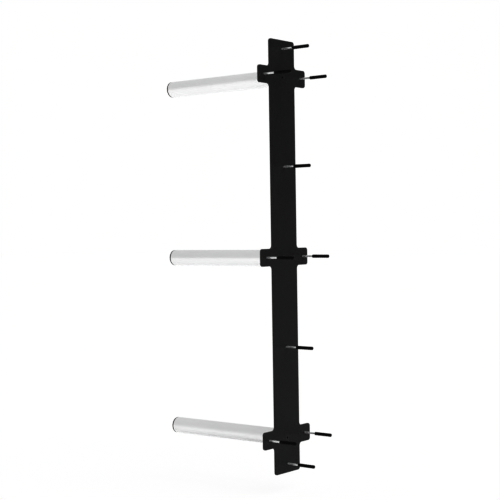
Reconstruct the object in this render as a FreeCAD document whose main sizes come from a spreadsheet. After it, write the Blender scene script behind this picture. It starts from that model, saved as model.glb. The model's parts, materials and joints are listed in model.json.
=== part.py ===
import FreeCAD, Part
import os

import Sketcher
from FreeCAD import Placement, Rotation, Vector

# Wall rack with three storage arms: a flat steel plate that screws to a wall, tubes that stand out
# into the room, and the ten coach screws and nylon wall plugs that hold the plate.
#
# Frame, in millimetres: the wall is the plane Y = 0, +Y points into the wall, -Y into the room,
# +Z is up and +X is to the right for a person who looks at the rack from the room.
# The origin is on the plate's wall face, at the centre of the middle cross tab.

DIMENSIONS = {
    # steel wall plate
    "plate_height": 1320.0,
    "plate_thickness": 6.0,
    "strip_width": 122.8,
    "tab_width": 233.6,
    "tab_height": 52.6,
    "tab_spacing": 550.0,
    "outer_corner": 8.0,
    "inner_corner": 11.0,
    "edge_break": 0.5,
    # holes and places of the wall screws
    "screw_hole": 7.0,
    "tab_screw_offset": 90.5,
    "end_screw_height": 633.0,
    "mid_screw_height": 275.0,
    # arms
    "arm_drop": 3.5,
    "tube_diameter": 50.0,
    "tube_wall": 2.0,
    "tube_length": 442.0,
    "insert_length": 22.0,
    "insert_bore": 10.0,
    "insert_chamfer": 1.0,
    # countersunk bolts that hold the arms
    "bolt_hole": 10.5,
    "countersink_depth": 4.9,
    "bolt_sink": 0.3,
    "bolt_seat_gap": 0.02,
    "bolt_thread": 9.9,
    "bolt_length": 25.0,
    "bolt_point": 1.0,
    "bolt_key": 6.0,
    "bolt_key_depth": 3.0,
    # end caps
    "cap_diameter": 49.8,
    "cap_flange": 4.5,
    "cap_rounding": 1.0,
    "cap_floor": 2.5,
    "spigot_diameter": 45.2,
    "spigot_bore": 40.4,
    "spigot_length": 20.0,
    "spigot_first_rib": 3.0,
    "spigot_rib_pitch": 5.0,
    "spigot_rib_length": 2.5,
    # washers
    "washer_bore": 6.4,
    "washer_diameter": 12.0,
    "washer_thickness": 1.6,
    "washer_edge": 0.3,
    # hexagon head coach screws
    "screw_diameter": 6.0,
    "screw_length": 65.0,
    "screw_point": 6.0,
    "screw_tip": 0.6,
    "head_flats": 10.0,
    "head_height": 4.0,
    "head_root": 1.0,
    "head_chamfer": 0.45,
    # nylon wall plugs
    "plug_diameter": 10.0,
    "plug_length": 60.0,
    "plug_standoff": 40.0,
    "plug_bore": 6.1,
    "plug_mouth": 7.2,
    "plug_rim_break": 0.3,
    "plug_tip_diameter": 7.0,
    "plug_tip_length": 1.5,
    "plug_end_wall": 1.5,
    "plug_collar": 14.0,
    "plug_tooth_pitch": 7.0,
    "plug_tooth_land": 2.0,
    "plug_tooth_depth": 0.4,
    "plug_slit_width": 1.0,
    "plug_slit_start": 16.0,
    "plug_slit_end": 52.0,
}
CAP_RIBS = 3
PLUG_TEETH = 6
SHEET = "Dimensions"
TOLERANCE = 1e-4

doc = FreeCAD.newDocument("WallRack")
sheet = doc.addObject("Spreadsheet::Sheet", SHEET)
for row, (alias, length) in enumerate(DIMENSIONS.items(), start=1):
    sheet.set(f"A{row}", alias)
    sheet.set(f"B{row}", str(length))
    sheet.setAlias(f"B{row}", alias)
doc.recompute()


class Size:
    """A length worked out from the sheet: its value now, and the expression that gives it."""

    def __init__(self, value, text):
        self.value = value
        self.text = text

    def join(self, sign, other, value):
        term = other.text if isinstance(other, Size) else str(other)
        return Size(value, f"({self.text} {sign} {term})")

    def __add__(self, other):
        return self.join("+", other, self.value + number(other))

    def __sub__(self, other):
        return self.join("-", other, self.value - number(other))

    def __mul__(self, other):
        return self.join("*", other, self.value * number(other))

    def __truediv__(self, other):
        return self.join("/", other, self.value / number(other))

    def __neg__(self):
        return Size(-self.value, f"(0 - {self.text})")


def number(size):
    return size.value if isinstance(size, Size) else float(size)


def dim(alias):
    return Size(DIMENSIONS[alias], f"{SHEET}.{alias}")


ZERO = Size(0.0, "0")


def bind(thing, path, size):
    """Ties a property to the sheet, where its size comes from there."""
    if isinstance(size, Size) and SHEET in size.text:
        thing.setExpression(path, size.text)


def new_body(label):
    body = doc.addObject("PartDesign::Body", label)
    body.Label = label
    return body


def place(body, x, y, z):
    body.Placement = Placement(Vector(number(x), number(y), number(z)), Rotation())
    bind(body, "Placement.Base.x", x)
    bind(body, "Placement.Base.y", y)
    bind(body, "Placement.Base.z", z)


def new_sketch(body, role, name):
    """An empty sketch on one of the body's own origin planes."""
    plane = next(f for f in body.Origin.OriginFeatures if f.Role == role)
    sketch = body.newObject("Sketcher::SketchObject", name)
    sketch.AttachmentSupport = [(plane, "")]
    sketch.MapMode = "FlatFace"
    return sketch


def fix(sketch, kind, geometry, point, size):
    """Sets a signed distance from the sketch's origin to a point, bound to the sheet."""
    constraint = Sketcher.Constraint(kind, -1, 1, geometry, point, number(size))
    index = sketch.addConstraint(constraint)
    bind(sketch, f"Constraints[{index}]", size)


def draw_outline(sketch, points):
    """A closed outline of straight edges through points, each given as (across, up)."""
    corners = [Vector(number(across), number(up), 0) for across, up in points]
    count = len(points)
    for i in range(count):
        sketch.addGeometry(Part.LineSegment(corners[i], corners[(i + 1) % count]), False)
    for i in range(count):
        sketch.addConstraint(Sketcher.Constraint("Coincident", i, 2, (i + 1) % count, 1))
    for i, (across, up) in enumerate(points):
        fix(sketch, "DistanceX", i, 1, across)
        fix(sketch, "DistanceY", i, 1, up)


def draw_circle(sketch, across, up, diameter):
    centre = Vector(number(across), number(up), 0)
    circle = Part.Circle(centre, Vector(0, 0, 1), number(diameter) / 2)
    index = sketch.addGeometry(circle, False)
    fix(sketch, "DistanceX", index, 3, across)
    fix(sketch, "DistanceY", index, 3, up)
    size = sketch.addConstraint(Sketcher.Constraint("Diameter", index, number(diameter)))
    bind(sketch, f"Constraints[{size}]", diameter)


def draw_hexagon(sketch, flats):
    """A hexagon about the sketch's origin, two of its corners on the horizontal axis."""
    corner = flats / 3**0.5
    half = corner / 2
    flat = flats / 2
    draw_outline(
        sketch,
        [(corner, ZERO), (half, flat), (-half, flat), (-corner, ZERO), (-half, -flat), (half, -flat)],
    )


def draw_box(sketch, low, high):
    (left, bottom), (right, top) = low, high
    draw_outline(sketch, [(left, bottom), (right, bottom), (right, top), (left, top)])


def pad(body, sketch, length):
    """Adds the sketch's area along its normal. A sketch on XZ_Plane pads into the room, along -Y."""
    feature = body.newObject("PartDesign::Pad", "Pad")
    feature.Profile = sketch
    feature.Length = number(length)
    bind(feature, "Length", length)
    doc.recompute()


def turn(body, name, points):
    """Adds a shape turned about the Y axis, from an outline of (radius, y) points."""
    sketch = new_sketch(body, "XY_Plane", name)
    draw_outline(sketch, points)
    feature = body.newObject("PartDesign::Revolution", "Revolution")
    feature.Profile = sketch
    feature.ReferenceAxis = (sketch, ["V_Axis"])
    feature.Angle = 360
    doc.recompute()


def checked_cut(body, feature, before):
    """Stops unless the cut took material away."""
    doc.recompute()
    if body.Shape.Volume > before - TOLERANCE:
        raise RuntimeError(f"{feature.Name} of {body.Label} removed nothing")


def pocket(body, sketch, length=None, both_ways=False):
    """Cuts the sketch's area out: as deep as length into the room, or right through."""
    before = body.Shape.Volume
    feature = body.newObject("PartDesign::Pocket", "Pocket")
    feature.Profile = sketch
    if both_ways:
        feature.SideType = "Symmetric"
    else:
        feature.Reversed = True
    if length is None:
        feature.Type = "ThroughAll"
    else:
        feature.Length = number(length)
        bind(feature, "Length", length)
    checked_cut(body, feature, before)


def groove(body, name, points):
    """Cuts a ring turned about the Y axis, from an outline of (radius, y) points."""
    before = body.Shape.Volume
    sketch = new_sketch(body, "XY_Plane", name)
    draw_outline(sketch, points)
    feature = body.newObject("PartDesign::Groove", "Groove")
    feature.Profile = sketch
    feature.ReferenceAxis = (sketch, ["V_Axis"])
    feature.Angle = 360
    checked_cut(body, feature, before)


def dress(body, kind, path, size, chosen):
    """Adds a fillet or chamfer to the edges of the body that chosen accepts."""
    tip = body.Tip
    names = [f"Edge{i}" for i, edge in enumerate(tip.Shape.Edges, start=1) if chosen(edge)]
    feature = body.newObject(f"PartDesign::{kind}", kind)
    feature.Base = (tip, names)
    setattr(feature, path, number(size))
    bind(feature, path, size)
    doc.recompute()


def near(a, b):
    return abs(a - b) < TOLERANCE


# Heights and places that several sub-parts share.
TAB_HEIGHTS = {"upper": dim("tab_spacing"), "middle": ZERO, "lower": -dim("tab_spacing")}
ARM_HEIGHTS = {name: height - dim("arm_drop") for name, height in TAB_HEIGHTS.items()}
ROOM_FACE = -dim("plate_thickness")
TUBE_END = ROOM_FACE - dim("tube_length")
HEAD_SEAT = ROOM_FACE - dim("washer_thickness")


def screw_sites():
    """The ten wall screws, as name: (x, z)."""
    sites = {
        "top": (ZERO, dim("end_screw_height")),
        "upper_middle": (ZERO, dim("mid_screw_height")),
        "lower_middle": (ZERO, -dim("mid_screw_height")),
        "bottom": (ZERO, -dim("end_screw_height")),
    }
    for tab, height in TAB_HEIGHTS.items():
        sites[f"{tab}_left"] = (-dim("tab_screw_offset"), height)
        sites[f"{tab}_right"] = (dim("tab_screw_offset"), height)
    return sites


def plate_outline():
    """The strip with its three cross tabs, anticlockwise from the bottom right corner."""
    strip = dim("strip_width") / 2
    tab = dim("tab_width") / 2
    rise = dim("tab_height") / 2
    end = dim("plate_height") / 2
    right = [(strip, -end)]
    for centre in (TAB_HEIGHTS["lower"], TAB_HEIGHTS["middle"], TAB_HEIGHTS["upper"]):
        low, high = centre - rise, centre + rise
        right += [(strip, low), (tab, low), (tab, high), (strip, high)]
    right.append((strip, end))
    return right + [(-across, up) for across, up in reversed(right)]


def build_wall_plate():
    body = new_body("wall_plate")
    outline = new_sketch(body, "XZ_Plane", "PlateOutline")
    draw_outline(outline, plate_outline())
    pad(body, outline, dim("plate_thickness"))

    strip = number(dim("strip_width")) / 2
    tab = number(dim("tab_width")) / 2
    end = number(dim("plate_height")) / 2

    def across_plate(edge):
        first, last = (vertex.Point for vertex in edge.Vertexes)
        return near(first.x, last.x) and near(first.z, last.z)

    def outer_corner(edge):
        point = edge.Vertexes[0].Point
        return across_plate(edge) and (near(abs(point.x), tab) or near(abs(point.z), end))

    def inner_corner(edge):
        return across_plate(edge) and near(abs(edge.Vertexes[0].Point.x), strip)

    dress(body, "Fillet", "Radius", dim("outer_corner"), outer_corner)
    dress(body, "Fillet", "Radius", dim("inner_corner"), inner_corner)

    def rim(edge):
        ends = {round(vertex.Point.y, 3) for vertex in edge.Vertexes}
        return len(ends) == 1

    dress(body, "Chamfer", "Size", dim("edge_break"), rim)

    screw_holes = new_sketch(body, "XZ_Plane", "ScrewHoles")
    for x, z in screw_sites().values():
        draw_circle(screw_holes, x, z, dim("screw_hole"))
    pocket(body, screw_holes)

    bolt_holes = new_sketch(body, "XZ_Plane", "BoltHoles")
    for height in ARM_HEIGHTS.values():
        draw_circle(bolt_holes, ZERO, height, dim("bolt_hole"))
    pocket(body, bolt_holes)

    def bolt_hole_mouth(edge):
        radius = getattr(edge.Curve, "Radius", 0)
        return near(radius, number(dim("bolt_hole")) / 2) and near(edge.Vertexes[0].Point.y, 0)

    dress(body, "Chamfer", "Size", dim("countersink_depth"), bolt_hole_mouth)


def build_arm_tube(arm, height):
    body = new_body(f"{arm}_arm_tube")
    section = new_sketch(body, "XZ_Plane", "TubeSection")
    draw_circle(section, ZERO, ZERO, dim("tube_diameter"))
    draw_circle(section, ZERO, ZERO, dim("tube_diameter") - dim("tube_wall") * 2)
    pad(body, section, dim("tube_length"))
    place(body, ZERO, ROOM_FACE, height)


def build_arm_insert(arm, height):
    """The steel plug pressed into the tube's near end, threaded for the arm's bolt."""
    body = new_body(f"{arm}_arm_insert")
    bore = dim("insert_bore") / 2
    outside = dim("tube_diameter") / 2 - dim("tube_wall")
    chamfer = dim("insert_chamfer")
    length = dim("insert_length")
    turn(
        body,
        "InsertProfile",
        [
            (bore, ZERO),
            (outside, ZERO),
            (outside, chamfer - length),
            (outside - chamfer, -length),
            (bore, -length),
        ],
    )
    place(body, ZERO, ROOM_FACE, height)


def build_arm_bolt(arm, height):
    """The countersunk bolt that holds an arm, its head just below the wall face."""
    body = new_body(f"{arm}_arm_bolt")
    cone = dim("bolt_hole") / 2 + dim("countersink_depth") - dim("bolt_seat_gap")
    thread = dim("bolt_thread") / 2
    top = -dim("bolt_sink")
    end = -dim("bolt_length")
    point = dim("bolt_point")
    turn(
        body,
        "BoltProfile",
        [
            (ZERO, top),
            (cone + top, top),
            (thread, thread - cone),
            (thread, end + point),
            (thread - point, end),
            (ZERO, end),
        ],
    )
    socket = new_sketch(body, "XZ_Plane", "KeySocket")
    draw_hexagon(socket, dim("bolt_key"))
    pocket(body, socket, dim("bolt_key_depth") + dim("bolt_sink"))
    place(body, ZERO, ZERO, height)


def build_arm_cap(arm, height):
    """The plastic cap in the tube's far end: a round flange and a hollow ribbed spigot."""
    body = new_body(f"{arm}_arm_cap")
    flange = dim("cap_diameter") / 2
    root = dim("spigot_diameter") / 2
    crest = dim("tube_diameter") / 2 - dim("tube_wall")
    bore = dim("spigot_bore") / 2
    outer_face = -dim("cap_flange")
    floor = outer_face + dim("cap_floor")
    end = dim("spigot_length")
    profile = [(ZERO, outer_face), (flange, outer_face), (flange, ZERO), (root, ZERO)]
    for rib in range(CAP_RIBS):
        start = dim("spigot_first_rib") + dim("spigot_rib_pitch") * rib
        profile += [(root, start), (crest, start), (root, start + dim("spigot_rib_length"))]
    profile += [(root, end), (bore, end), (bore, floor), (ZERO, floor)]
    turn(body, "CapProfile", profile)

    def outer_rim(edge):
        radius = getattr(edge.Curve, "Radius", 0)
        at_face = near(edge.Vertexes[0].Point.y, number(outer_face))
        return near(radius, number(flange)) and at_face

    dress(body, "Fillet", "Radius", dim("cap_rounding"), outer_rim)
    place(body, ZERO, TUBE_END, height)


def build_washer(site, x, z):
    body = new_body(f"washer_{site}")
    bore = dim("washer_bore") / 2
    outside = dim("washer_diameter") / 2
    thickness = dim("washer_thickness")
    edge = dim("washer_edge")
    turn(
        body,
        "WasherProfile",
        [
            (bore, ZERO),
            (outside, ZERO),
            (outside, edge - thickness),
            (outside - edge, -thickness),
            (bore, -thickness),
        ],
    )
    place(body, x, ROOM_FACE, z)


def build_screw(site, x, z):
    """A coach screw, from its hexagon head in the room to its point inside the wall plug."""
    body = new_body(f"screw_{site}")
    head = new_sketch(body, "XZ_Plane", "HeadHexagon")
    draw_hexagon(head, dim("head_flats"))
    pad(body, head, dim("head_height"))

    corner = dim("head_flats") / 3**0.5
    face = -dim("head_height")
    flat = dim("head_flats") / 2 - dim("head_chamfer")
    slope = (corner - flat) * 3**-0.5
    groove(body, "HeadChamfer", [(flat, face), (corner, face), (corner, face + slope)])

    shank = dim("screw_diameter") / 2
    end = dim("screw_length")
    tip = dim("screw_tip") / 2
    turn(
        body,
        "ShankProfile",
        [
            (ZERO, -dim("head_root")),
            (shank, -dim("head_root")),
            (shank, end - dim("screw_point")),
            (tip, end),
            (ZERO, end),
        ],
    )
    place(body, x, HEAD_SEAT, z)


def build_wall_plug(site, x, z):
    """A nylon plug with a plain collar, barbed outside, slit in four and closed at its tip."""
    body = new_body(f"wall_plug_{site}")
    outside = dim("plug_diameter") / 2
    root = outside - dim("plug_tooth_depth")
    bore = dim("plug_bore") / 2
    mouth = dim("plug_mouth") / 2
    rim = dim("plug_rim_break")
    end = dim("plug_length")
    floor = end - dim("plug_end_wall")
    profile = [(mouth, ZERO), (outside - rim, ZERO), (outside, rim)]
    for tooth in range(PLUG_TEETH):
        start = dim("plug_collar") + dim("plug_tooth_pitch") * tooth
        if tooth:
            profile.append((outside, start - dim("plug_tooth_pitch") + dim("plug_tooth_land")))
            profile.append((root, start))
        profile.append((outside, start))
    profile += [
        (outside, end - dim("plug_tip_length")),
        (dim("plug_tip_diameter") / 2, end),
        (ZERO, end),
        (ZERO, floor),
        (bore, floor),
        (bore, mouth - bore),
    ]
    turn(body, "PlugProfile", profile)

    half_slit = dim("plug_slit_width") / 2
    start, finish = dim("plug_slit_start"), dim("plug_slit_end")
    upright = new_sketch(body, "XY_Plane", "UprightSlits")
    draw_box(upright, (-half_slit, start), (half_slit, finish))
    pocket(body, upright, both_ways=True)
    level = new_sketch(body, "YZ_Plane", "LevelSlits")
    draw_box(level, (start, -half_slit), (finish, half_slit))
    pocket(body, level, both_ways=True)
    place(body, x, dim("plug_standoff"), z)


def failed_objects():
    return [o.Name for o in doc.Objects if {"Invalid", "Error"} & set(o.State)]


def export_bodies():
    """Writes each sub-part's shape to its own file, once every shape is known to be sound."""
    bodies = [o for o in doc.Objects if o.TypeId == "PartDesign::Body"]
    for body in bodies:
        if body.Shape.isNull() or not body.Shape.isValid() or len(body.Shape.Solids) != 1:
            raise RuntimeError(f"{body.Label} is not one valid solid")
    os.makedirs("parts", exist_ok=True)
    for body in bodies:
        body.Shape.exportStep(f"parts/{body.Label}.step")
    print(len(bodies), "sub-parts written")


build_wall_plate()
for arm_name, arm_height in ARM_HEIGHTS.items():
    build_arm_tube(arm_name, arm_height)
    build_arm_insert(arm_name, arm_height)
    build_arm_bolt(arm_name, arm_height)
    build_arm_cap(arm_name, arm_height)
for site_name, (site_x, site_z) in screw_sites().items():
    build_washer(site_name, site_x, site_z)
    build_screw(site_name, site_x, site_z)
    build_wall_plug(site_name, site_x, site_z)

doc.recompute()
if failed_objects():
    raise RuntimeError(f"these objects failed: {failed_objects()}")
export_bodies()
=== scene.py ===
import json
import math

import bmesh
import bpy
from mathutils import Matrix, Vector

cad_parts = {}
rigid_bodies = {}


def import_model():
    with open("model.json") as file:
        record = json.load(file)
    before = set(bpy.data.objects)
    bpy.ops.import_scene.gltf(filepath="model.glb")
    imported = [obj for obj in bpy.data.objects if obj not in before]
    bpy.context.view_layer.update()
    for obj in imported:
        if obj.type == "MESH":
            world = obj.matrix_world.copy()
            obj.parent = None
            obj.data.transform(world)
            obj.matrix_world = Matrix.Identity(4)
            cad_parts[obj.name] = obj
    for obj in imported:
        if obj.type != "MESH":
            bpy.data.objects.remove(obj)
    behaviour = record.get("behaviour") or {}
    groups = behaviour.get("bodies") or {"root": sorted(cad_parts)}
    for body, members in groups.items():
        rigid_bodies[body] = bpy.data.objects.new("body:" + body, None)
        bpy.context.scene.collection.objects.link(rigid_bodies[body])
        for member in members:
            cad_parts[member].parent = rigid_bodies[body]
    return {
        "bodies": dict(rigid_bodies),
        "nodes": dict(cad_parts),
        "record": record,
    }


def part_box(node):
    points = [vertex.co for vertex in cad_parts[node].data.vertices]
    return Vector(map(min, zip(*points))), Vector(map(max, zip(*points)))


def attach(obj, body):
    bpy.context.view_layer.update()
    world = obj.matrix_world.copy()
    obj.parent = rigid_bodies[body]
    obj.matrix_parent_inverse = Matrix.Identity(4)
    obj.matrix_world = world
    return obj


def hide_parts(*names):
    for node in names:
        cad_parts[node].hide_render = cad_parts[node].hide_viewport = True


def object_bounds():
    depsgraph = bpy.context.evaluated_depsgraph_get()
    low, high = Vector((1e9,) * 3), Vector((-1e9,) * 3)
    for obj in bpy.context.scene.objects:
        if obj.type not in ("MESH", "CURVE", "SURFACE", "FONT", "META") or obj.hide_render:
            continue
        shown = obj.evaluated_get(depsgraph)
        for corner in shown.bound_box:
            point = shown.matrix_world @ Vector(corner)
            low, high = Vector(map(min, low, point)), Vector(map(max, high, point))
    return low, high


# Looks for the wall storage rack. Metres, in the CAD model's frame: +Y goes into the wall, -Y into
# the room, +Z is up. The plate, the arms with their inserts, bolts and caps, and the washers keep
# their CAD shapes. The coach screws and wall plugs get detailed pieces in the places of their plain
# CAD solids.

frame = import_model()
cad_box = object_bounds()
MM = 0.001
SITES = sorted(name[len("screw_"):] for name in frame["bodies"] if name.startswith("screw_"))

# ---------------------------------------------------------------- camera
# Angles in degrees. Distance, across and up are along the camera's own axes, from the origin.
CAMERA_AZIMUTH = 128.482
CAMERA_ELEVATION = 1.012
CAMERA_ROLL = -0.876
CAMERA_DISTANCE = 3.692
CAMERA_ACROSS = -0.1068
CAMERA_UP = 0.02115
CAMERA_LENS = 87.05

SENSOR_WIDTH = 36
FAR_CLIP = 200


def camera_axes():
    """The camera's right, up and backward directions."""
    azimuth, elevation, roll = (
        math.radians(angle) for angle in (CAMERA_AZIMUTH, CAMERA_ELEVATION, CAMERA_ROLL)
    )
    back = Vector((
        math.sin(azimuth) * math.cos(elevation),
        -math.cos(azimuth) * math.cos(elevation),
        math.sin(elevation),
    ))
    level = Vector((math.cos(azimuth), math.sin(azimuth), 0))
    upright = level.cross(-back)
    right = level * math.cos(roll) + upright * math.sin(roll)
    up = upright * math.cos(roll) - level * math.sin(roll)
    return right, up, back


def add_camera():
    right, up, back = camera_axes()
    place = right * CAMERA_ACROSS + up * CAMERA_UP + back * CAMERA_DISTANCE
    data = bpy.data.cameras.new("camera")
    data.sensor_width = SENSOR_WIDTH
    data.lens = CAMERA_LENS
    data.clip_end = FAR_CLIP
    camera = bpy.data.objects.new("camera", data)
    bpy.context.scene.collection.objects.link(camera)
    turn = Matrix((right, up, back)).transposed().to_4x4()
    camera.matrix_world = Matrix.Translation(place) @ turn
    bpy.context.scene.camera = camera


# ---------------------------------------------------------------- material nodes
class Nodes:
    """A material's node tree with a Principled shader, and short ways to add to it."""

    def __init__(self, name):
        self.material = bpy.data.materials.new(name)
        self.material.use_nodes = True
        self.tree = self.material.node_tree
        self.shader = self.tree.nodes["Principled BSDF"]

    def add(self, kind, **values):
        node = self.tree.nodes.new(kind)
        for name, value in values.items():
            setattr(node, name, value)
        return node

    def link(self, source, target):
        self.tree.links.new(source, target)

    def set(self, **values):
        for name, value in values.items():
            self.shader.inputs[name.replace("_", " ")].default_value = value

    def coordinates(self, stretch=(1, 1, 1)):
        """Metre coordinates on the object, each multiplied by its own factor."""
        where = self.add("ShaderNodeTexCoord")
        mapping = self.add("ShaderNodeMapping")
        mapping.inputs["Scale"].default_value = stretch
        self.link(where.outputs["Object"], mapping.inputs["Vector"])
        return mapping.outputs["Vector"]

    def noise(self, scale, detail, stretch=(1, 1, 1)):
        node = self.add("ShaderNodeTexNoise")
        node.inputs["Scale"].default_value = scale
        node.inputs["Detail"].default_value = detail
        self.link(self.coordinates(stretch), node.inputs["Vector"])
        return node.outputs["Fac"]

    def spread(self, value, low, high, start=0.3, end=0.7):
        """Maps value from start..end to low..high, and holds it there beyond."""
        node = self.add("ShaderNodeMapRange")
        node.inputs["From Min"].default_value = start
        node.inputs["From Max"].default_value = end
        node.inputs["To Min"].default_value = low
        node.inputs["To Max"].default_value = high
        self.link(value, node.inputs["Value"])
        return node.outputs["Result"]

    def math(self, operation, first, second):
        node = self.add("ShaderNodeMath", operation=operation)
        for socket, value in zip(node.inputs, (first, second)):
            if isinstance(value, (int, float)):
                socket.default_value = value
            else:
                self.link(value, socket)
        return node.outputs["Value"]

    def mix(self, factor, first, second):
        """A colour between first and second, each a colour or a socket."""
        node = self.add("ShaderNodeMix", data_type="RGBA")
        self.link(factor, node.inputs["Factor"])
        for socket, value in zip((node.inputs[6], node.inputs[7]), (first, second)):
            if isinstance(value, tuple):
                socket.default_value = (*value, 1.0)
            else:
                self.link(value, socket)
        return node.outputs[2]

    def bump(self, height, distance, strength, below=None):
        """Adds relief of that depth in metres, on top of the relief below it."""
        node = self.add("ShaderNodeBump")
        node.inputs["Strength"].default_value = strength
        node.inputs["Distance"].default_value = distance
        self.link(height, node.inputs["Height"])
        if below is not None:
            self.link(below, node.inputs["Normal"])
        return node.outputs["Normal"]

    def finish(self, color, roughness, normal):
        for name, socket in (("Base Color", color), ("Roughness", roughness), ("Normal", normal)):
            self.link(socket, self.shader.inputs[name])
        return self.material


def plate_paint():
    """Black powder coat: fine orange peel, faint clouding, and edges rubbed a little smoother."""
    m = Nodes("plate_paint")
    m.set(Specular_IOR_Level=0.3)
    clouds = m.noise(14, 4)
    peel = m.noise(620, 3)
    grains = m.noise(2600, 2)
    normal = m.add("ShaderNodeNewGeometry").outputs["True Normal"]
    parts = m.add("ShaderNodeSeparateXYZ")
    m.link(normal, parts.inputs["Vector"])
    slant = m.math("ABSOLUTE", parts.outputs["Y"], 0)
    off_face = m.spread(slant, 1, 0, 0.8, 0.95)
    off_side = m.spread(slant, 0, 1, 0.2, 0.5)
    edge = m.math("MULTIPLY", off_face, off_side)
    rubbed = m.math("MULTIPLY", edge, m.spread(m.noise(160, 4), 0, 1, 0.42, 0.66))
    base = m.mix(m.spread(clouds, 0, 1), (0.018, 0.018, 0.0185), (0.023, 0.023, 0.0235))
    speckled = m.mix(m.spread(grains, 0, 0.6, 0.5, 0.75), base, (0.045, 0.045, 0.045))
    color = m.mix(rubbed, speckled, (0.07, 0.07, 0.07))
    rough = m.math("SUBTRACT", m.spread(clouds, 0.44, 0.56), m.math("MULTIPLY", rubbed, 0.15))
    relief = m.bump(peel, 0.00012, 0.6)
    relief = m.bump(grains, 0.00003, 0.5, relief)
    return m.finish(color, rough, relief)


def arm_chrome():
    """Bright satin plating on a drawn tube: fine lines along it and a few faint rings of wear."""
    m = Nodes("arm_chrome")
    m.set(Metallic=1.0)
    lines = m.noise(1500, 3, (1, 0.012, 1))
    haze = m.noise(9, 3, (1, 0.4, 1))
    rings = m.noise(420, 2, (0.02, 1, 0.02))
    color = m.mix(m.spread(haze, 0, 1), (0.88, 0.88, 0.88), (0.93, 0.93, 0.932))
    rough = m.math(
        "ADD",
        m.spread(lines, 0.32, 0.42),
        m.math("MULTIPLY", m.spread(rings, 0, 1, 0.62, 0.8), 0.05),
    )
    relief = m.bump(lines, 0.000012, 0.5)
    return m.finish(color, rough, relief)


def insert_steel():
    """Bare turned steel with close tool marks."""
    m = Nodes("insert_steel")
    m.set(Metallic=1.0)
    marks = m.noise(2600, 2, (0.15, 1, 0.15))
    stain = m.noise(120, 4)
    color = m.mix(m.spread(stain, 0, 1), (0.40, 0.39, 0.38), (0.56, 0.56, 0.55))
    return m.finish(color, m.spread(marks, 0.28, 0.46), m.bump(marks, 0.00002, 0.6))


def bolt_black_steel():
    """Black oxide with an oily, slightly uneven sheen."""
    m = Nodes("bolt_black_steel")
    m.set(Specular_IOR_Level=0.35)
    patches = m.noise(240, 4)
    grain = m.noise(4200, 2)
    color = m.mix(m.spread(patches, 0, 1), (0.018, 0.018, 0.019), (0.030, 0.029, 0.029))
    return m.finish(color, m.spread(patches, 0.34, 0.52), m.bump(grain, 0.00002, 0.6))


def cap_plastic():
    """Moulded black plastic with a fine spark grain."""
    m = Nodes("cap_plastic")
    m.set(Specular_IOR_Level=0.35)
    grain = m.noise(2800, 2)
    clouds = m.noise(60, 3)
    color = m.mix(m.spread(clouds, 0, 1), (0.009, 0.009, 0.009), (0.014, 0.014, 0.014))
    return m.finish(color, m.spread(grain, 0.42, 0.58), m.bump(grain, 0.00004, 0.7))


def fastener_zinc():
    """Bright zinc plating: cool grey, slightly cloudy, with fine crystalline grain."""
    m = Nodes("fastener_zinc")
    m.set(Metallic=0.65)
    clouds = m.noise(300, 4)
    grain = m.noise(5200, 2)
    color = m.mix(m.spread(clouds, 0, 1), (0.74, 0.745, 0.75), (0.84, 0.845, 0.85))
    return m.finish(color, m.spread(clouds, 0.14, 0.24), m.bump(grain, 0.00002, 0.5))


def plug_nylon():
    """Black nylon: waxy skin, faint flow marks along the moulding."""
    m = Nodes("plug_nylon")
    m.set(Specular_IOR_Level=0.12)
    flow = m.noise(380, 3, (1, 0.2, 1))
    grain = m.noise(3600, 2)
    color = m.mix(m.spread(flow, 0, 1), (0.0055, 0.0055, 0.0055), (0.0095, 0.0095, 0.0095))
    relief = m.bump(flow, 0.00004, 0.4)
    relief = m.bump(grain, 0.00002, 0.5, relief)
    return m.finish(color, m.spread(flow, 0.34, 0.48), relief)


MATERIALS = {
    builder.__name__: builder()
    for builder in (
        plate_paint,
        arm_chrome,
        insert_steel,
        bolt_black_steel,
        cap_plastic,
        fastener_zinc,
        plug_nylon,
    )
}


def dress_cad_nodes():
    for row in frame["record"]["subparts"]:
        node = frame["nodes"][row["node"]]
        node.data.materials.clear()
        node.data.materials.append(MATERIALS[row["material_slot"]])


# ---------------------------------------------------------------- mesh helpers
def ring(bm, radius_at, y, steps):
    """A ring of vertices about the Y axis at height y, its radius given by angle."""
    made = []
    for i in range(steps):
        angle = 2 * math.pi * i / steps
        radius = radius_at(angle)
        made.append(bm.verts.new((radius * math.cos(angle), y, radius * math.sin(angle))))
    return made


def join_rings(bm, first, second):
    count = len(first)
    for i in range(count):
        j = (i + 1) % count
        bm.faces.new((first[i], first[j], second[j], second[i]))


def lathe(bm, profile, steps):
    """Turns (radius, y) points about the Y axis. A radius of 0 closes the end."""
    rings = []
    for radius, y in profile:
        if radius == 0:
            rings.append([bm.verts.new((0, y, 0))])
        else:
            rings.append(ring(bm, lambda angle, r=radius: r, y, steps))
    for first, second in zip(rings, rings[1:]):
        if len(first) == 1:
            for i in range(steps):
                bm.faces.new((first[0], second[(i + 1) % steps], second[i]))
        elif len(second) == 1:
            for i in range(steps):
                bm.faces.new((first[i], first[(i + 1) % steps], second[0]))
        else:
            join_rings(bm, first, second)


def mesh_from(bm, name, sharp_angle):
    """Makes the mesh, smooth except across edges sharper than sharp_angle degrees."""
    bmesh.ops.recalc_face_normals(bm, faces=bm.faces)
    limit = math.radians(sharp_angle)
    for face in bm.faces:
        face.smooth = True
    for edge in bm.edges:
        edge.smooth = len(edge.link_faces) == 2 and edge.calc_face_angle(0) < limit
    mesh = bpy.data.meshes.new(name)
    bm.to_mesh(mesh)
    bm.free()
    return mesh


def add_piece(name, mesh, place, material, body, replaced):
    piece = bpy.data.objects.new(name, mesh)
    bpy.context.scene.collection.objects.link(piece)
    piece.location = place
    if not mesh.materials:
        mesh.materials.append(MATERIALS[material])
    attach(piece, body)
    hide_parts(replaced)


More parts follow.
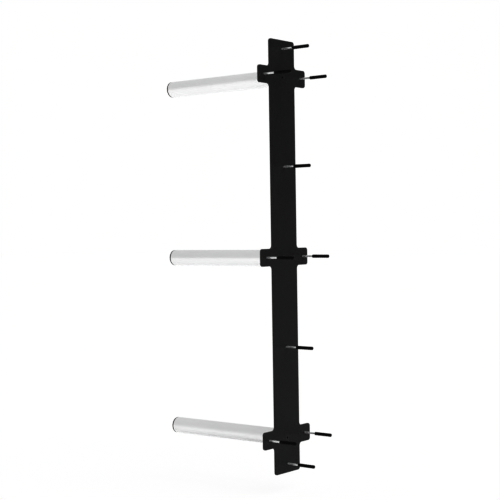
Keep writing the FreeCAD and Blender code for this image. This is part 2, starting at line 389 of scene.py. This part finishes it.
# ---------------------------------------------------------------- coach screws
HEAD_FLATS = 10.0 * MM
HEAD_HEIGHT = 4.0 * MM
HEAD_CROWN = 4.55 * MM
HEAD_EDGE = 0.12 * MM
HEAD_CHAMFER = math.radians(30)
HEAD_STEPS = 96
SHANK_RADIUS = 3.0 * MM
SHANK_INSIDE_HEAD = 0.5 * MM
SCREW_LENGTH = 65.0 * MM
THREAD_START = 48.5 * MM
THREAD_PITCH = 2.6 * MM
THREAD_ROOT = 2.15 * MM
THREAD_CREST_WIDTH = 0.18 * MM
THREAD_CREST_ROUNDING = 0.05 * MM
THREAD_FOOT_WIDTH = 1.25 * MM
THREAD_FOOT_DEPTH = 0.25 * MM
THREAD_LEAD_IN = 0.9 * THREAD_PITCH
THREAD_RUN_OUT = 2.0 * MM
THREAD_STOP = 0.7 * MM
POINT_LENGTH = 6.0 * MM
POINT_STEPS = 10
TIP_RADIUS = 0.3 * MM
TIP_ROUNDING = 0.15 * MM
SCREW_STEPS = 48
SCREW_SHARP_ANGLE = 38


def hexagon_radius(angle):
    sixth = math.pi / 3
    return HEAD_FLATS / 2 / math.cos((angle + sixth / 2) % sixth - sixth / 2)


def add_head(bm):
    """A hexagon head with its corners turned off at 30 degrees, as a lathe leaves them."""
    slope = math.tan(HEAD_CHAMFER)
    steps = HEAD_STEPS
    crown = ring(bm, lambda angle: HEAD_CROWN - HEAD_EDGE, -HEAD_HEIGHT, steps)
    crown_edge = ring(bm, lambda angle: HEAD_CROWN, -HEAD_HEIGHT + HEAD_EDGE * slope, steps)
    bm.faces.new(crown)
    join_rings(bm, crown, crown_edge)

    def hexagon_ring(inset, lift):
        made = []
        for i in range(steps):
            angle = 2 * math.pi * i / steps
            radius = hexagon_radius(angle) - inset
            drop = max(radius - HEAD_CROWN, 0) * slope
            made.append(bm.verts.new((
                radius * math.cos(angle),
                -HEAD_HEIGHT + drop + lift,
                radius * math.sin(angle),
            )))
        return made

    shoulder = hexagon_ring(HEAD_EDGE, HEAD_EDGE * slope * 2)
    side = hexagon_ring(0, HEAD_EDGE * 2)
    join_rings(bm, crown_edge, shoulder)
    join_rings(bm, shoulder, side)
    low_side = ring(bm, hexagon_radius, -HEAD_EDGE, steps)
    low_edge = ring(bm, lambda angle: hexagon_radius(angle) - HEAD_EDGE, 0, steps)
    join_rings(bm, side, low_side)
    join_rings(bm, low_side, low_edge)
    bm.faces.new(low_edge)


def core_radius(y):
    """The radius of the threaded core: straight, then drawn in to the point."""
    left = SCREW_LENGTH - y
    if left >= POINT_LENGTH:
        return THREAD_ROOT
    return TIP_RADIUS + (THREAD_ROOT - TIP_RADIUS) * left / POINT_LENGTH


def add_core(bm):
    """The plain shank from inside the head, its step down to the core, the core and the point."""
    profile = [
        (0, -SHANK_INSIDE_HEAD),
        (SHANK_RADIUS, -SHANK_INSIDE_HEAD),
        (SHANK_RADIUS, THREAD_START - 0.6 * MM),
        (SHANK_RADIUS - 0.12 * MM, THREAD_START - 0.2 * MM),
        (THREAD_ROOT, THREAD_START + 1.0 * MM),
    ]
    start = SCREW_LENGTH - POINT_LENGTH
    for i in range(POINT_STEPS):
        y = start + POINT_LENGTH * i / POINT_STEPS
        profile.append((core_radius(y), y))
    profile.append((TIP_RADIUS, SCREW_LENGTH - TIP_ROUNDING))
    profile.append((0, SCREW_LENGTH))
    lathe(bm, profile, SCREW_STEPS)


def add_thread(bm):
    """One right-hand ridge wound round the core, from inside the shank's end to the point."""
    start = THREAD_START - THREAD_LEAD_IN
    end = SCREW_LENGTH - THREAD_STOP
    turns = (end - start) / THREAD_PITCH
    count = int(turns * SCREW_STEPS)
    half_crest = THREAD_CREST_WIDTH / 2
    sections = []
    for i in range(count + 1):
        y = start + THREAD_PITCH * i / SCREW_STEPS
        angle = -2 * math.pi * i / SCREW_STEPS
        core = core_radius(y)
        rise = min(1.0, 0.75 + 0.25 * (y - start) / THREAD_PITCH)
        fade = min(1.0, (end - y) / THREAD_RUN_OUT) * rise
        crest = core + (SHANK_RADIUS - THREAD_ROOT) * fade * (0.55 + 0.45 * core / THREAD_ROOT)
        foot = max(core - THREAD_FOOT_DEPTH, 0.05 * MM)
        half_foot = THREAD_FOOT_WIDTH / 2 * (0.5 + 0.5 * fade)
        section = []
        for radius, shift in (
            (foot, -half_foot),
            (crest - THREAD_CREST_ROUNDING, -half_crest),
            (crest, 0),
            (crest - THREAD_CREST_ROUNDING, half_crest),
            (foot, half_foot),
        ):
            section.append(bm.verts.new((
                radius * math.cos(angle), y + shift, radius * math.sin(angle),
            )))
        sections.append(section)
    for first, second in zip(sections, sections[1:]):
        join_rings(bm, first, second)
    bm.faces.new(sections[0])
    bm.faces.new(sections[-1])


def screw_mesh():
    bm = bmesh.new()
    add_head(bm)
    add_core(bm)
    add_thread(bm)
    return mesh_from(bm, "coach_screw", SCREW_SHARP_ANGLE)


def add_screws():
    mesh = screw_mesh()
    for site in SITES:
        node = f"screw_{site}"
        low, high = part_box(node)
        seat = low.y + HEAD_HEIGHT
        middle = (low + high) / 2
        place = (middle.x, seat, middle.z)
        add_piece(f"coach_screw_{site}", mesh, place, "fastener_zinc", node, node)


# ---------------------------------------------------------------- wall plugs
PLUG_RADIUS = 5.0 * MM
PLUG_LENGTH = 60.0 * MM
PLUG_FLOOR = 58.5 * MM
PLUG_BORE = 3.05 * MM
SLIT_FLOOR = 3.4 * MM
PLUG_MOUTH = 3.6 * MM
PLUG_RIM = 0.45 * MM
PLUG_COLLAR = 14.0 * MM
TOOTH_PITCH = 7.0 * MM
TOOTH_LAND = 2.0 * MM
TOOTH_DEPTH = 0.4 * MM
TOOTH_ROUNDING = 0.15 * MM
PLUG_TEETH = 6
SLIT_START = 16.0 * MM
SLIT_END = 52.0 * MM
SLIT_HALF_ANGLE = math.radians(6.0)
SLIT_COUNT = 4
QUARTER_STEPS = 12
DOME_LENGTH = 3.2 * MM
DOME_FULLNESS = 0.8
DOME_STEPS = 7
PLUG_SHARP_ANGLE = 35


def plug_profile():
    """The plug's outer wall as (radius, y), from its mouth to where the dome starts."""
    profile = [(PLUG_RADIUS - PLUG_RIM, 0), (PLUG_RADIUS - PLUG_RIM * 0.3, PLUG_RIM * 0.3)]
    profile.append((PLUG_RADIUS, PLUG_RIM))
    for tooth in range(1, PLUG_TEETH):
        step = PLUG_COLLAR + TOOTH_PITCH * tooth
        land_end = step - TOOTH_PITCH + TOOTH_LAND
        root = PLUG_RADIUS - TOOTH_DEPTH
        profile += [
            (PLUG_RADIUS, land_end - TOOTH_ROUNDING),
            (PLUG_RADIUS - 0.02 * MM, land_end + TOOTH_ROUNDING),
            (root, step - TOOTH_ROUNDING),
            (root + 0.12 * MM, step),
            (PLUG_RADIUS, step + TOOTH_ROUNDING),
        ]
    profile.append((PLUG_RADIUS, PLUG_LENGTH - DOME_LENGTH))
    return profile


def split_at(profile, heights):
    """Adds points to the profile so that it has one at each height."""
    for height in heights:
        for i, ((r0, y0), (r1, y1)) in enumerate(zip(profile, profile[1:])):
            if y0 < height < y1:
                share = (height - y0) / (y1 - y0)
                profile.insert(i + 1, (r0 + (r1 - r0) * share, height))
                break
    return profile


def plug_columns():
    """Angles round the plug, with a pair close together at each slit's two sides."""
    quarter = 2 * math.pi / SLIT_COUNT
    angles = []
    for slit in range(SLIT_COUNT):
        centre = slit * quarter
        span = quarter - 2 * SLIT_HALF_ANGLE
        angles.append(centre - SLIT_HALF_ANGLE)
        for step in range(QUARTER_STEPS):
            angles.append(centre + SLIT_HALF_ANGLE + span * step / QUARTER_STEPS)
    return angles


def plug_mesh():
    """A barbed plug with a round bore, a domed tip, and slits that a thin web closes inside."""
    bm = bmesh.new()
    profile = split_at(plug_profile(), (SLIT_START, SLIT_END))
    angles = plug_columns()
    count = len(angles)

    def row(radius, y):
        return [bm.verts.new((radius * math.cos(a), y, radius * math.sin(a))) for a in angles]

    outer = [row(radius, y) for radius, y in profile]
    inner = [row(PLUG_MOUTH if y == 0 else PLUG_BORE, y) for _, y in profile]
    web = [row(SLIT_FLOOR, y) for _, y in profile]

    def is_slit(column, level):
        y = (profile[level][1] + profile[level + 1][1]) / 2
        return column % (QUARTER_STEPS + 1) == 0 and SLIT_START < y < SLIT_END

    for level in range(len(profile) - 1):
        for column in range(count):
            after = (column + 1) % count
            slit = is_slit(column, level)
            if slit:
                for side in (column, after):
                    bm.faces.new((
                        outer[level][side], outer[level + 1][side],
                        web[level + 1][side], web[level][side],
                    ))
            for wall in (web if slit else outer, inner):
                bm.faces.new((
                    wall[level][column], wall[level][after],
                    wall[level + 1][after], wall[level + 1][column],
                ))
    for level, (_, y) in enumerate(profile):
        if y in (SLIT_START, SLIT_END):
            for column in range(0, count, QUARTER_STEPS + 1):
                after = (column + 1) % count
                bm.faces.new((
                    outer[level][column], outer[level][after],
                    web[level][after], web[level][column],
                ))
    # The web's vertices are used only at the slits.
    unused = [vertex for vertex in bm.verts if not vertex.link_faces]
    bmesh.ops.delete(bm, geom=unused, context="VERTS")
    join_rings(bm, outer[0], inner[0])
    floor = row(PLUG_BORE, PLUG_FLOOR)
    join_rings(bm, inner[-1], floor)
    bm.faces.new(floor)

    last = outer[-1]
    for step in range(1, DOME_STEPS):
        lean = math.pi / 2 * step / DOME_STEPS
        radius = PLUG_RADIUS * math.cos(lean) ** DOME_FULLNESS
        higher = row(radius, PLUG_LENGTH - DOME_LENGTH * (1 - math.sin(lean)))
        join_rings(bm, last, higher)
        last = higher
    tip = bm.verts.new((0, PLUG_LENGTH, 0))
    for column in range(count):
        bm.faces.new((last[column], last[(column + 1) % count], tip))
    return mesh_from(bm, "wall_plug", PLUG_SHARP_ANGLE)


def add_plugs():
    mesh = plug_mesh()
    for site in SITES:
        node = f"wall_plug_{site}"
        low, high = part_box(node)
        middle = (low + high) / 2
        place = (middle.x, low.y, middle.z)
        add_piece(f"nylon_plug_{site}", mesh, place, "plug_nylon", f"plug_{site}", node)


# ---------------------------------------------------------------- stage and light
# FLOOR_WASH is the share of plain white in what the camera sees of the floor. LIGHT_CHANGE is the
# span of directions, from room to wall, over which the surroundings go from bright to dim.
FLOOR_DROP = 0.06
FLOOR_SIZE = 60.0
FLOOR_COLOR = (0.86, 0.86, 0.86, 1.0)
FLOOR_WASH = 0.94
BACKDROP = 1.0
ROOM_LIGHT = 0.76
WALL_LIGHT = 0.24
LIGHT_CHANGE = (-0.25, 0.35)
TOP_LIGHT = 2.45
TOP_LIGHT_SPREAD = 50.0
TOP_LIGHT_TILT = 28.0
PICTURE_GAMMA = 0.6
WHITE = (1, 1, 1, 1)


def add_floor():
    """A pale floor, overexposed as in a product picture, so that only a faint shadow shows."""
    low = cad_box[0]
    bm = bmesh.new()
    bmesh.ops.create_grid(bm, x_segments=4, y_segments=4, size=FLOOR_SIZE / 2)
    mesh = bpy.data.meshes.new("floor")
    bm.to_mesh(mesh)
    bm.free()
    floor = bpy.data.objects.new("floor", mesh)
    bpy.context.scene.collection.objects.link(floor)
    floor.location.z = low.z - FLOOR_DROP
    m = Nodes("floor")
    m.set(Base_Color=FLOOR_COLOR, Roughness=0.9, Specular_IOR_Level=0.1)
    white = m.add("ShaderNodeEmission")
    path = m.add("ShaderNodeLightPath")
    blend = m.add("ShaderNodeMixShader")
    m.link(m.math("MULTIPLY", path.outputs["Is Camera Ray"], FLOOR_WASH), blend.inputs["Fac"])
    m.link(m.shader.outputs["BSDF"], blend.inputs[1])
    m.link(white.outputs["Emission"], blend.inputs[2])
    m.link(blend.outputs["Shader"], m.tree.nodes["Material Output"].inputs["Surface"])
    mesh.materials.append(m.material)


def add_top_light():
    """A broad, soft light from above, a little towards the wall side."""
    data = bpy.data.lights.new("top_light", "SUN")
    data.energy = TOP_LIGHT
    data.angle = math.radians(TOP_LIGHT_SPREAD)
    light = bpy.data.objects.new("top_light", data)
    light.rotation_euler.x = -math.radians(TOP_LIGHT_TILT)
    bpy.context.scene.collection.objects.link(light)


def light_surroundings():
    """Pale surroundings: bright on the room side, dim on the wall side, and a plain backdrop."""
    world = bpy.data.worlds.new("studio")
    bpy.context.scene.world = world
    world.use_nodes = True
    tree = world.node_tree
    tree.nodes.clear()
    where = tree.nodes.new("ShaderNodeTexCoord")
    parts = tree.nodes.new("ShaderNodeSeparateXYZ")
    side = tree.nodes.new("ShaderNodeMapRange")
    side.interpolation_type = "SMOOTHSTEP"
    side.inputs["From Min"].default_value = LIGHT_CHANGE[0]
    side.inputs["From Max"].default_value = LIGHT_CHANGE[1]
    side.inputs["To Min"].default_value = ROOM_LIGHT
    side.inputs["To Max"].default_value = WALL_LIGHT
    lit = tree.nodes.new("ShaderNodeBackground")
    seen = tree.nodes.new("ShaderNodeBackground")
    seen.inputs["Strength"].default_value = BACKDROP
    seen.inputs["Color"].default_value = WHITE
    lit.inputs["Color"].default_value = WHITE
    path = tree.nodes.new("ShaderNodeLightPath")
    mix = tree.nodes.new("ShaderNodeMixShader")
    out = tree.nodes.new("ShaderNodeOutputWorld")
    link = tree.links.new
    link(where.outputs["Generated"], parts.inputs["Vector"])
    link(parts.outputs["Y"], side.inputs["Value"])
    link(side.outputs["Result"], lit.inputs["Strength"])
    link(path.outputs["Is Camera Ray"], mix.inputs["Fac"])
    link(lit.outputs["Background"], mix.inputs[1])
    link(seen.outputs["Background"], mix.inputs[2])
    link(mix.outputs["Shader"], out.inputs["Surface"])


add_camera()
dress_cad_nodes()
add_screws()
add_plugs()
add_floor()
add_top_light()
light_surroundings()
bpy.context.scene.view_settings.view_transform = "Standard"
bpy.context.scene.view_settings.gamma = PICTURE_GAMMA
